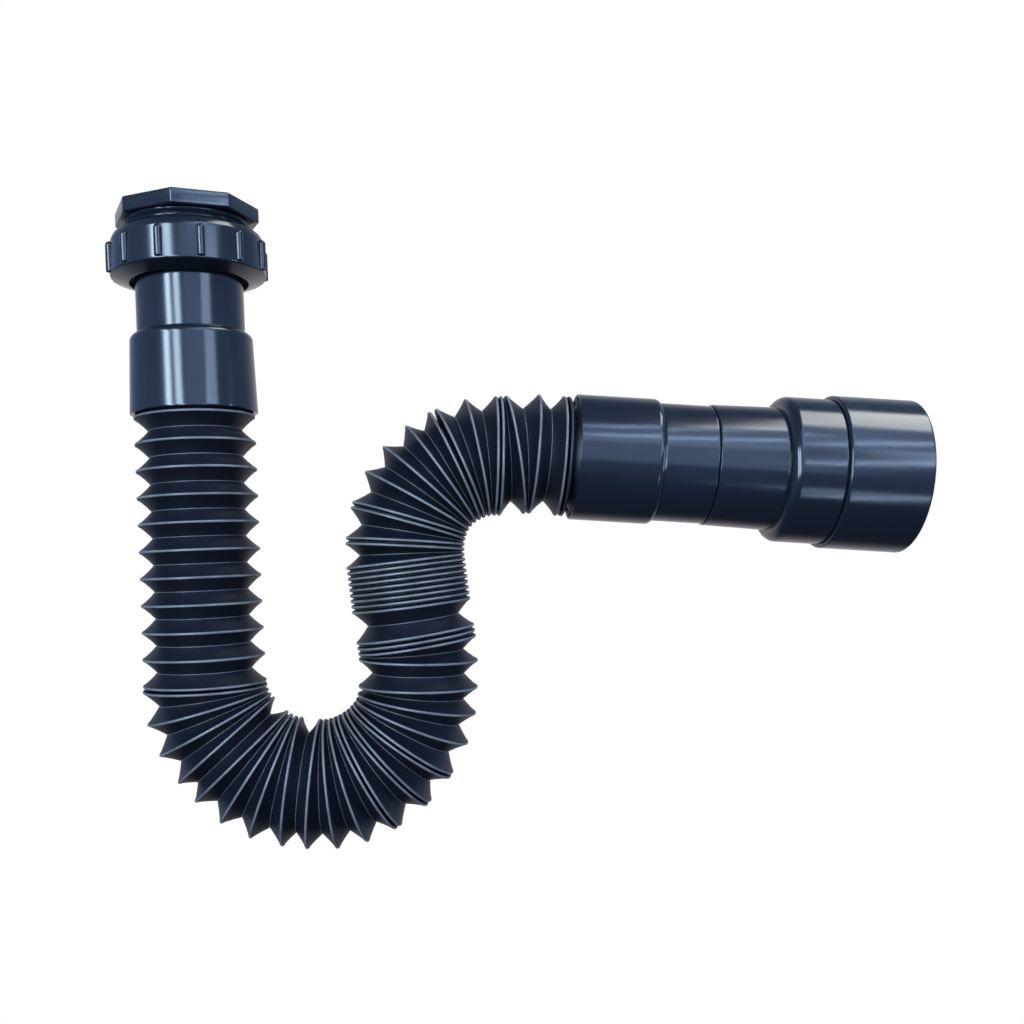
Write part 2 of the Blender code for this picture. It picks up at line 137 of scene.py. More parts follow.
@dataclass(frozen=True)
class MouldedPolypropylene(Finish):
    """Injection-moulded polypropylene: a dark blue-grey gloss whose reflections waver over slight sink marks.

    The moulds were turned, so faint rings run round each fitting's own axis, stronger in patches.
    """

    tilt: float = 0.0
    worn_colour: str = "161b24"
    sink_size: float = 0.012
    sink_depth: float = 0.00003
    grain_size: float = 0.0008
    grain_depth: float = 0.000003
    ring_pitch: float = 0.0009
    ring_depth: float = 0.0000025
    patch_size: float = 0.026
    patch_edges: tuple[float, float] = (0.50, 0.64)
    least_mark: float = 0.12
    polish_spread: tuple[float, float] = (-0.03, 0.05)

    def material(self) -> bpy.types.Material:
        """Builds the material.

        Returns:
            The finished material.
        """
        material, shader, place = self.start()
        tree = material.node_tree
        turned = add(tree, "ShaderNodeMapping", {"Vector": place, "Rotation": (0.0, self.tilt, 0.0)})
        axial = add(tree, "ShaderNodeSeparateXYZ", {0: turned}).outputs["Z"]
        sinks = add(
            tree, "ShaderNodeTexNoise", {"Vector": place, "Scale": 1.0 / self.sink_size, "Detail": 1.0}
        )
        grain = add(tree, "ShaderNodeTexNoise", {"Vector": place, "Scale": 1.0 / self.grain_size})
        rings = add(
            tree, "ShaderNodeTexNoise", {"W": axial, "Scale": 1.0 / self.ring_pitch}, noise_dimensions="1D"
        )
        patches = add(
            tree, "ShaderNodeTexNoise", {"Vector": place, "Scale": 1.0 / self.patch_size, "Detail": 3.0}
        )
        low, high = self.patch_edges
        share = add(tree, "ShaderNodeMapRange", {0: patches, 1: low, 2: high, 3: self.least_mark, 4: 1.0})
        marks = add(tree, "ShaderNodeMath", {0: rings, 1: share}, operation="MULTIPLY")
        wavy = add(tree, "ShaderNodeBump", {"Height": sinks, "Distance": self.sink_depth})
        grainy = add(tree, "ShaderNodeBump", {"Height": grain, "Distance": self.grain_depth, "Normal": wavy})
        ringed = add(tree, "ShaderNodeBump", {"Height": marks, "Distance": self.ring_depth, "Normal": grainy})
        shade = add(
            tree,
            "ShaderNodeMix",
            {"Factor": patches, 6: linear(self.colour), 7: linear(self.worn_colour)},
            data_type="RGBA",
        )
        smooth, rough = (self.roughness + spread for spread in self.polish_spread)
        polish = add(tree, "ShaderNodeMapRange", {0: patches, 3: smooth, 4: rough})
        tree.links.new(ringed.outputs[0], shader.inputs["Normal"])
        tree.links.new(shade.outputs[2], shader.inputs["Base Color"])
        tree.links.new(polish.outputs[0], shader.inputs["Roughness"])
        return material


@dataclass(frozen=True)
class BlownPolyethylene(Finish):
    """Blow-moulded polyethylene: satin near-black folds with a painted highlight on the crests and roots; the
    crests are smoother too.
    """

    specular: float = 0.32
    # The paler crest colour is a painted highlight, standing in for the lamps' reflection along each crest.
    crest_highlight_colour: str = "6a6767"
    crest_roughness: float = 0.30
    # Noise patches make the painted highlight stronger and weaker along the crests.
    highlight_patch_size: float = 0.011
    highlight_patch_edges: tuple[float, float] = (0.30, 0.65)
    least_highlight: float = 0.55
    grain_size: float = 0.0012
    grain_depth: float = 0.000006

    def material(self) -> bpy.types.Material:
        """Builds the material.

        Returns:
            The finished material.
        """
        material, shader, place = self.start()
        shader.inputs["Specular IOR Level"].default_value = self.specular
        tree = material.node_tree
        # The crest attribute places a painted highlight: a paler colour along each crest and in each root,
        # stronger or weaker in noise patches.
        crest = add(tree, "ShaderNodeAttribute", attribute_name="crest").outputs["Fac"]
        highlight_patches = add(tree, "ShaderNodeTexNoise", {"Vector": place, "Scale": 1.0 / self.highlight_patch_size, "Detail": 3.0})
        low, high = self.highlight_patch_edges
        highlight_strength = add(tree, "ShaderNodeMapRange", {0: highlight_patches, 1: low, 2: high, 3: self.least_highlight, 4: 1.0})
        share = add(tree, "ShaderNodeMath", {0: crest, 1: highlight_strength}, operation="MULTIPLY")
        shade = add(
            tree,
            "ShaderNodeMix",
            {"Factor": share, 6: linear(self.colour), 7: linear(self.crest_highlight_colour)},
            data_type="RGBA",
        )
        polish = add(tree, "ShaderNodeMapRange", {0: share, 3: self.roughness, 4: self.crest_roughness})
        grain = add(tree, "ShaderNodeTexNoise", {"Vector": place, "Scale": 1.0 / self.grain_size})
        grainy = add(tree, "ShaderNodeBump", {"Height": grain, "Distance": self.grain_depth})
        tree.links.new(shade.outputs[2], shader.inputs["Base Color"])
        tree.links.new(polish.outputs[0], shader.inputs["Roughness"])
        tree.links.new(grainy.outputs[0], shader.inputs["Normal"])
        return material


@dataclass(frozen=True)
class FineGrained(Finish):
    """A plain surface with a fine even grain, as on moulded rubber and natural nylon."""

    grain_size: float = 0.0006
    grain_depth: float = 0.00001

    def material(self) -> bpy.types.Material:
        """Builds the material.

        Returns:
            The finished material.
        """
        material, shader, place = self.start()
        tree = material.node_tree
        grain = add(tree, "ShaderNodeTexNoise", {"Vector": place, "Scale": 1.0 / self.grain_size})
        grainy = add(tree, "ShaderNodeBump", {"Height": grain, "Distance": self.grain_depth})
        tree.links.new(grainy.outputs[0], shader.inputs["Normal"])
        return material


@dataclass(frozen=True)
class Section:
    """One oval section of a piece.

    Attributes:
        centre: Its centre.
        turn: How far its axis has turned from straight down towards +X, in radians.
        half_plane: Its half width in the hose's plane.
        half_across: Its half width across that plane.
        crest: How much painted highlight it carries, from 0 to 1, as on a crest or in a root.
    """

    centre: Vector
    turn: float
    half_plane: float
    half_across: float
    crest: float = 0.0

    @property
    def outward(self) -> Vector:
        """The way in the hose's plane that starts towards +X."""
        return Vector((math.cos(self.turn), 0.0, math.sin(self.turn)))


@dataclass(frozen=True)
class Corner:
    """One corner of a turned outline: its radius, its height along the axis and its round, in millimetres."""

    radius: float
    height: float
    round: float = 0.0


@dataclass(frozen=True)
class Axis:
    """The line that a turned piece stands on, whose height 0 is at its origin."""

    origin: Vector
    turn: float

    @property
    def along(self) -> Vector:
        """The way the water runs."""
        return Vector((math.sin(self.turn), 0.0, -math.cos(self.turn)))

    def section(self, radius: float, height: float) -> Section:
        """The round section of that radius and height, both in metres."""
        return Section(self.origin - self.along * height, self.turn, radius, radius)


def arc(radius: float, height: float, size: float, start: float, end: float, steps: int = 8) -> list[Corner]:
    """Points of a large round on an outline.

    Args:
        radius: Where its middle is, out from the axis, in millimetres.
        height: Where its middle is, along the axis.
        size: Its own radius.
        start: Its first angle in degrees, 0 pointing outwards and 90 upwards.
        end: Its last angle.
        steps: How many pieces it has.

    Returns:
        Its points as corners with no further round.
    """
    angles = [math.radians(start + (end - start) * step / steps) for step in range(steps + 1)]
    return [Corner(radius + size * math.cos(angle), height + size * math.sin(angle)) for angle in angles]


def filleted(corners: list[Corner], steps: int = 4) -> list[tuple[float, float]]:
    """Rounds the corners of a closed outline.

    Args:
        corners: The outline's corners in order.
        steps: How many pieces each round has.

    Returns:
        The outline's points as (radius, height), in metres.
    """
    points = []
    for index, corner in enumerate(corners):
        here = Vector((corner.radius, corner.height))
        if corner.round == 0.0:
            points.append(here)
            continue
        following = corners[(index + 1) % len(corners)]
        before = Vector((corners[index - 1].radius, corners[index - 1].height)) - here
        after = Vector((following.radius, following.height)) - here
        half_angle = before.angle(after) / 2
        reach = min(corner.round / math.tan(half_angle), before.length * 0.49, after.length * 0.49)
        first = here + before.normalized() * reach
        last = here + after.normalized() * reach
        middle = here + (before.normalized() + after.normalized()).normalized() * reach / math.cos(half_angle)
        start = first - middle
        sweep = start.angle_signed(last - middle)
        points += [middle + Matrix.Rotation(-sweep * step / steps, 2) @ start for step in range(steps + 1)]
    return [(point.x / 1000, point.y / 1000) for point in points]


def held(points: list[tuple[float, float]], margin: float = 0.0003) -> list[tuple[float, float]]:
    """Adds a point near both ends of each long straight, so that its shading stays flat along it.

    Args:
        points: A closed outline in metres.
        margin: How far from the ends the new points are.

    Returns:
        The outline with the new points.
    """
    kept = []
    for here, after in zip(points, points[1:] + points[:1]):
        first, last = Vector(here), Vector(after)
        length = (last - first).length
        kept.append(here)
        if length > 4 * margin:
            kept += [tuple(first.lerp(last, share)) for share in (margin / length, 1 - margin / length)]
    return kept


def place_shape(name: str, shape: bmesh.types.BMesh, finish: bpy.types.Material) -> bpy.types.Object:
    """Puts a shape into the scene and frees it.

    Args:
        name: The piece's name.
        shape: The shape.
        finish: The material.

    Returns:
        The new object.
    """
    mesh = bpy.data.meshes.new(name)
    shape.to_mesh(mesh)
    shape.free()
    mesh.materials.append(finish)
    piece = bpy.data.objects.new(name, mesh)
    bpy.context.scene.collection.objects.link(piece)
    return piece


def shade_mesh(mesh: bpy.types.Mesh, sharp: float = SHARP) -> None:
    """Shades a mesh smoothly, but for edges that turn further than some degrees."""
    mesh.shade_smooth()
    mesh.set_sharp_from_angle(angle=math.radians(sharp))


class Workshop:
    """Builds the Geometry Nodes trees once and turns what they make to plain meshes."""

    def __init__(self) -> None:
        """Builds the three trees."""
        self.loft = self._loft_tree()
        self.thread = self._thread_tree()
        self.repeat = self._repeat_tree()

    def _new_tree(self, name: str, sizes: dict[str, str]) -> tuple[bpy.types.NodeTree, bpy.types.NodeOutputs]:
        """Starts a tree with its named inputs.

        Args:
            name: The tree's name.
            sizes: Each size's name with its socket type, between the Geometry and the Finish.

        Returns:
            The tree and the outputs of its Group Input.
        """
        tree = bpy.data.node_groups.new(name, "GeometryNodeTree")
        named = {"Geometry": "NodeSocketGeometry", **sizes, "Finish": "NodeSocketMaterial"}
        for label, kind in named.items():
            tree.interface.new_socket(label, in_out="INPUT", socket_type=kind)
        tree.interface.new_socket("Geometry", in_out="OUTPUT", socket_type="NodeSocketGeometry")
        return tree, add(tree, "NodeGroupInput").outputs

    def _end_tree(self, tree: bpy.types.NodeTree, made: bpy.types.Node, finish: bpy.types.NodeSocket) -> None:
        """Ends a tree in Realize Instances and Set Material.

        Args:
            tree: The tree.
            made: The node whose first output is the finished shape.
            finish: The output that gives the material.
        """
        real = add(tree, "GeometryNodeRealizeInstances", {0: made})
        dressed = add(tree, "GeometryNodeSetMaterial", {"Geometry": real, "Material": finish})
        add(tree, "NodeGroupOutput", {0: dressed})

    def _loft_tree(self) -> bpy.types.NodeTree:
        """The tree that lofts a skin through a run of sections.

        It takes a mesh with one point for each section, whose attributes hold the section's turn and half
        widths. A grid is wrapped round those sections, and its seams and poles are welded.

        Returns:
            The tree.
        """
        tree, given = self._new_tree("skin_through_sections", {"Steps Around": "NodeSocketInt"})
        count = add(tree, "GeometryNodeAttributeDomainSize", {0: given["Geometry"]})
        columns = add(tree, "ShaderNodeMath", {0: given["Steps Around"], 1: 1.0}, operation="ADD")
        grid = add(
            tree,
            "GeometryNodeMeshGrid",
            {"Size X": 1.0, "Size Y": 1.0, "Vertices X": columns, "Vertices Y": count},
        )
        place = add(tree, "GeometryNodeInputPosition")
        apart = add(tree, "ShaderNodeSeparateXYZ", {0: place}).outputs
        angle = add(tree, "ShaderNodeMath", {0: apart["X"], 1: FULL_TURN}, operation="MULTIPLY")
        share = add(tree, "ShaderNodeMath", {0: apart["Y"], 1: 0.5}, operation="ADD")
        steps = add(tree, "ShaderNodeMath", {0: count, 1: 1.0}, operation="SUBTRACT")
        exact = add(tree, "ShaderNodeMath", {0: share, 1: steps}, operation="MULTIPLY")
        row = add(tree, "ShaderNodeMath", {0: exact}, operation="ROUND")
        sampled = {}
        for label in ("turn", "half_plane", "half_across", "crest"):
            stored = add(tree, "GeometryNodeInputNamedAttribute", {"Name": label}, data_type="FLOAT")
            picked = {0: given["Geometry"], 1: stored, "Index": row}
            sampled[label] = add(tree, "GeometryNodeSampleIndex", picked, data_type="FLOAT")
        centre = add(
            tree,
            "GeometryNodeSampleIndex",
            {0: given["Geometry"], 1: place, "Index": row},
            data_type="FLOAT_VECTOR",
        )
        around, tilt = [
            [add(tree, "ShaderNodeMath", {0: source}, operation=wave) for wave in ("COSINE", "SINE")]
            for source in (angle, sampled["turn"])
        ]
        in_plane = add(tree, "ShaderNodeMath", {0: sampled["half_plane"], 1: around[0]}, operation="MULTIPLY")
        factors = ((in_plane, tilt[0]), (sampled["half_across"], around[1]), (in_plane, tilt[1]))
        parts = [
            add(tree, "ShaderNodeMath", {0: width, 1: wave}, operation="MULTIPLY") for width, wave in factors
        ]
        out = add(tree, "ShaderNodeCombineXYZ", dict(enumerate(parts)))
        moved = add(tree, "ShaderNodeVectorMath", {0: centre, 1: out}, operation="ADD")
        marked = add(
            tree,
            "GeometryNodeStoreNamedAttribute",
            {"Geometry": grid, "Name": "crest", "Value": sampled["crest"]},
        )
        shaped = add(tree, "GeometryNodeSetPosition", {"Geometry": marked, "Position": moved})
        welded = add(tree, "GeometryNodeMergeByDistance", {"Geometry": shaped, "Distance": 1e-7})
        self._end_tree(tree, welded, given["Finish"])
        return tree

    def _thread_tree(self) -> bpy.types.NodeTree:
        """The tree that sweeps a V-shaped tooth with a rounded crest along a helix.

        Returns:
            The tree.
        """
        labels = ("Turns", "Radius", "Rise", "Foot", "Tooth Radius", "Tooth Round")
        tree, given = self._new_tree("thread_along_helix", dict.fromkeys(labels, "NodeSocketFloat"))
        shape = {"Resolution": 72, "Rotations": given["Turns"], "Height": given["Rise"]}
        shape |= {end: given["Radius"] for end in ("Start Radius", "End Radius")}
        helix = add(tree, "GeometryNodeCurveSpiral", shape)
        up = add(tree, "ShaderNodeCombineXYZ", {2: given["Foot"]})
        lifted = add(tree, "GeometryNodeTransform", {"Geometry": helix, "Translation": up})
        upright = add(tree, "GeometryNodeSetCurveNormal", {"Curve": lifted}, mode="Z_UP")
        corners = {"Resolution": 4, "Radius": given["Tooth Radius"]}
        square = add(tree, "GeometryNodeCurvePrimitiveCircle", corners)
        tooth = add(
            tree,
            "GeometryNodeFilletCurve",
            {"Curve": square, "Radius": given["Tooth Round"], "Count": 3},
            mode="POLY",
        )
        swept = add(
            tree, "GeometryNodeCurveToMesh", {"Curve": upright, "Profile Curve": tooth, "Fill Caps": True}
        )
        self._end_tree(tree, swept, given["Finish"])
        return tree

    def _repeat_tree(self) -> bpy.types.NodeTree:
        """The tree that repeats its mesh evenly round the inlet axis.

        Returns:
            The tree.
        """
        sizes = {"Count": "NodeSocketInt", "First Angle": "NodeSocketFloat"}
        tree, given = self._new_tree("repeat_round_axis", sizes)
        points = add(tree, "GeometryNodePoints", {"Count": given["Count"]})
        pitch = add(tree, "ShaderNodeMath", {0: FULL_TURN, 1: given["Count"]}, operation="DIVIDE")
        number = add(tree, "GeometryNodeInputIndex")
        step = add(tree, "ShaderNodeMath", {0: number, 1: pitch}, operation="MULTIPLY")
        angle = add(tree, "ShaderNodeMath", {0: step, 1: given["First Angle"]}, operation="ADD")
        turned = add(tree, "ShaderNodeCombineXYZ", {2: angle})
        placed = add(
            tree,
            "GeometryNodeInstanceOnPoints",
            {"Points": points, "Instance": given["Geometry"], "Rotation": turned},
        )
        self._end_tree(tree, placed, given["Finish"])
        return tree

    def make(
        self,
        name: str,
        source: bpy.types.Mesh,
        tree: bpy.types.NodeTree,
        finish: bpy.types.Material,
        sharp: float = SHARP,
        **sizes: float,
    ) -> bpy.types.Object:
        """Runs a tree on a mesh and keeps what it makes as a plain mesh.

        Args:
            name: The piece's name.
            source: The mesh that the tree works on.
            tree: The tree.
            finish: The material.
            sharp: Edges that turn further than this many degrees stay sharp.
            sizes: The tree's sizes by name, with _ for a space.

        Returns:
            The finished object.
        """
        piece = bpy.data.objects.new(name, source)
        bpy.context.scene.collection.objects.link(piece)
        modifier = piece.modifiers.new("Build", "NODES")
        modifier.node_group = tree
        given = {label.replace("_", " "): value for label, value in sizes.items()} | {"Finish": finish}
        for socket in tree.interface.items_tree:
            if socket.in_out == "INPUT" and socket.name in given:
                modifier[socket.identifier] = given[socket.name]
        ready = piece.evaluated_get(bpy.context.evaluated_depsgraph_get())
        made = bpy.data.meshes.new_from_object(ready)
        piece.modifiers.remove(modifier)
        piece.data = made
        made.name = name
        shape = bmesh.new()
        shape.from_mesh(made)
        if shape.calc_volume(signed=True) < 0.0:
            bmesh.ops.reverse_faces(shape, faces=shape.faces)
        shape.to_mesh(made)
        shape.free()
        shade_mesh(made, sharp)
        return piece

    def skin(
        self,
        name: str,
        sections: list[Section],
        finish: bpy.types.Material,
        around: int = 128,
        sharp: float = SHARP,
    ) -> bpy.types.Object:
        """Lofts a piece through its sections.

        Args:
            name: The piece's name.
            sections: Its sections in order.
            finish: The material.
            around: How many facets it has round its axis.
            sharp: Edges that turn further than this many degrees stay sharp.

        Returns:
            The finished object.
        """
        spine = bpy.data.meshes.new(f"{name}_spine")
        spine.from_pydata([section.centre for section in sections], [], [])
        for label in ("turn", "half_plane", "half_across", "crest"):
            stored = spine.attributes.new(label, "FLOAT", "POINT")
            stored.data.foreach_set("value", [getattr(section, label) for section in sections])
        return self.make(name, spine, self.loft, finish, sharp, Steps_Around=around)

    def turned(
        self, name: str, axis: Axis, corners: list[Corner], finish: bpy.types.Material, around: int = 128
    ) -> bpy.types.Object:
        """Turns a piece about its axis from a closed outline.

        Args:
            name: The piece's name.
            axis: The line that it stands on.
            corners: The outline's corners in order, in millimetres.
            finish: The material.
            around: How many facets it has round its axis.

        Returns:
            The finished object.
        """
        points = held(filleted(corners))
        sections = [axis.section(radius, height) for radius, height in [*points, points[0]]]
        return self.skin(name, sections, finish, around)


def ride(piece: bpy.types.Object, body: str, slot: Slot, *nodes: str) -> None:
    """Ties a finished piece to its body and hides the nodes that it stands for.

    Args:
        piece: The finished object.
        body: The body's name.
        slot: Not used. The record's slot that its finish comes from.
        nodes: The CAD nodes that it replaces.
    """
    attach(piece, body)
    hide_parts(*nodes)
    LOG.info("%s rides on %s, %d faces", piece.name, body, len(piece.data.polygons))


@dataclass
class Union:
    """The threaded bush and the ribbed union nut, with the rings between them. Sizes are in millimetres."""

    shop: Workshop
    graphite: MouldedPolypropylene
    slip: FineGrained
    rubber: FineGrained
    pitch: float = 2.309
    tooth_round: float = 0.25
    outer_tooth: float = 1.25
    bore_tooth: float = 0.8
    nut_tooth: float = 0.9
    core_depth: float = 1.4
    head_height: float = 5.5
    head_apothem: float = 25.0
    head_round: float = 0.6
    head_turn: float = 1.0
    thread_crest: float = 23.9
    bore: float = 19.7
    lip_bore: float = 17.0
    bush_foot: float = -17.3
    bush_lip: float = 2.0
    nut_top: float = -9.5
    nut_foot: float = -27.9
    nut_lip: float = 3.2
    nut_hole: float = 22.0
    nut_bore: float = 24.9
    rib_count: int = 12
    rib_turn: float = 21.0
    rib_axis: float = 28.7
    rib_radius: float = 1.5
    rib_top: float = -13.4
    rib_foot: float = -24.9

    def build(self) -> None:
        """Builds and dresses every piece of the union."""
        self.axis = Axis(Vector(), 0.0)
        self.plastic = self.graphite.material()
        self.bush()
        self.nut()
        self.rings()

    def octagon(self, apothem: float, corner: float = 0.9) -> list[Vector]:
        """The outline of a rounded octagon.

        Args:
            apothem: Half its width across the flats.
            corner: The round on its corners.

        Returns:
            Its points, eight for each side.
        """
        points = []
        for side in range(8):
            angle = math.radians(self.head_turn + 45.0 * side)
            reach = (apothem - corner) / math.cos(math.pi / 8)
            middle = Vector((math.cos(angle), math.sin(angle))) * reach
            for step in range(5):
                turn = angle + math.radians(-22.5 + 45.0 * step / 4)
                points.append(middle + Vector((math.cos(turn), math.sin(turn))) * corner)
            flat = angle + math.pi / 8
            for share in (-0.25, 0.0, 0.25):
                inward = Vector((math.cos(flat), math.sin(flat))) * apothem
                points.append(inward + Vector((-math.sin(flat), math.cos(flat))) * share * apothem)
        return points

    def head(self) -> bpy.types.Object:
        """Makes the octagonal head with softened edges and a round bore.

        Returns:
            The finished object.
        """
        edge = self.head_round
        turns = [math.radians(90.0 * step / 4) for step in range(5)]
        rims = [(edge * (1 - math.sin(turn)), -edge * (1 - math.cos(turn))) for turn in turns]
        rims += [(inset, -self.head_height - height) for inset, height in reversed(rims)]
        rows = [
            [(*point, height) for point in self.octagon(self.head_apothem - inset)] for inset, height in rims
        ]
        outline = self.octagon(self.head_apothem)
        for radius, height in ((self.bore, -self.head_height), (self.bore, -0.5), (self.bore + 0.5, 0.0)):
            rows.append([(*(point.normalized() * radius), height) for point in outline])
        shape = bmesh.new()
        loops = [[shape.verts.new(Vector(point) / 1000) for point in row] for row in rows]
        for upper, lower in zip(loops, loops[1:] + loops[:1]):
            for step, vert in enumerate(upper):
                after = (step + 1) % len(upper)
                shape.faces.new((vert, lower[step], lower[after], upper[after]))
        bmesh.ops.recalc_face_normals(shape, faces=shape.faces)
        head = place_shape("bush_head", shape, self.plastic)
        shade_mesh(head.data)
        return head

    def thread(self, name: str, middle: float, tooth: float, top: float, foot: float) -> bpy.types.Object:
        """Makes a screw thread.

        Args:
            name: Its name.
            middle: How far out the middle of its tooth is.
            tooth: The radius of its rounded tooth.
            top: Where it ends above.
            foot: Where it starts below.

        Returns:
            The finished object.
        """
        return self.shop.make(
            name,
            bpy.data.meshes.new(name),
            self.shop.thread,
            self.plastic,
            15.0,
            Turns=(top - foot) / self.pitch,
            Radius=middle / 1000,
            Rise=(top - foot) / 1000,
            Foot=foot / 1000,
            Tooth_Radius=tooth / 1000,
            Tooth_Round=self.tooth_round / 1000,
        )

    def bush(self) -> None:
        """Makes the bush: octagonal head, threaded stem and threaded bore."""
        core = self.thread_crest - self.core_depth
        seat = self.bush_foot + self.bush_lip
        stem = self.shop.turned(
            "bush_stem",
            self.axis,
            [
                Corner(core, -self.head_height),
                Corner(core, self.bush_foot, 0.5),
                Corner(self.lip_bore, self.bush_foot, 0.3),
                Corner(self.lip_bore, seat, 0.3),
                Corner(self.bore, seat, 0.2),
                Corner(self.bore, -self.head_height),
            ],
            self.plastic,
        )
        top = -self.head_height - 0.4
        outer = self.thread("bush_thread", core + 0.2, self.outer_tooth, top, self.bush_foot + 1.3)
        inner = self.thread("bush_bore_thread", self.bore + 0.45, self.bore_tooth, -1.6, -11.8)
        for piece in (self.head(), stem, outer, inner):
            ride(piece, "bush", self.graphite.slot, "octagon_bush")

    def nut(self) -> None:
        """Makes the union nut with its ribs and its thread."""
        body = self.shop.turned(
            "union_nut_body",
            self.axis,
            [
                Corner(25.7, self.nut_top, 0.45),
                Corner(27.5, self.nut_top - 1.4, 2.0),
                Corner(28.4, self.nut_top - 3.4, 3.0),
                Corner(28.8, self.nut_foot + 2.5, 0.7),
                Corner(self.nut_hole, self.nut_foot, 0.3),
                Corner(self.nut_hole, self.nut_foot + self.nut_lip, 0.2),
                Corner(self.nut_bore, self.nut_foot + self.nut_lip, 0.2),
                Corner(self.nut_bore, self.nut_top, 0.35),
            ],
            self.plastic,
            192,
        )
        turns = [math.radians(90.0 * step / 8) for step in range(9)]
        heights = [(self.rib_top - self.rib_radius * (1 - math.cos(turn)), math.sin(turn)) for turn in turns]
        heights += [(self.rib_foot + 0.6 * (1 - math.cos(turn)), math.sin(turn)) for turn in reversed(turns)]
        sections = []
        for height, share in heights:
            middle = Vector((self.rib_axis, 0.0, height)) / 1000
            sections.append(Section(middle, 0.0, *[self.rib_radius * share / 1000] * 2))
        rib = self.shop.skin("nut_rib", sections, self.plastic, 24)
        ribs = self.shop.make(
            "union_nut_ribs",
            rib.data,
            self.shop.repeat,
            self.plastic,
            Count=self.rib_count,
            First_Angle=math.radians(self.rib_turn - 90.0),
        )
        bpy.data.objects.remove(rib)
        top, foot = self.nut_top - 2.0, self.nut_foot + 4.6
        inner = self.thread("union_nut_thread", self.nut_bore + 0.3, self.nut_tooth, top, foot)
        for piece in (body, ribs, inner):
            ride(piece, "nut", self.graphite.slot, "union_nut")

    def rings(self) -> None:
        """Makes the washer, the gasket and the slip ring, which are flat with soft edges."""
        for name, body, outer, inner, top, foot, finish in (
            ("inlet_washer", "bush", 19.2, 16.0, -12.5, -15.0, self.rubber),
            ("flat_gasket", "bush", 22.2, 18.0, -17.6, -20.1, self.rubber),
            ("slip_ring", "slip_ring", 23.4, 20.5, -23.2, -24.4, self.slip),
        ):
            edges = ((outer, top), (outer, foot), (inner, foot), (inner, top))
            corners = [Corner(radius, height, 0.25) for radius, height in edges]
            piece = self.shop.turned(f"{name}_fine", self.axis, corners, finish.material(), 96)
            ride(piece, body, finish.slot, name)


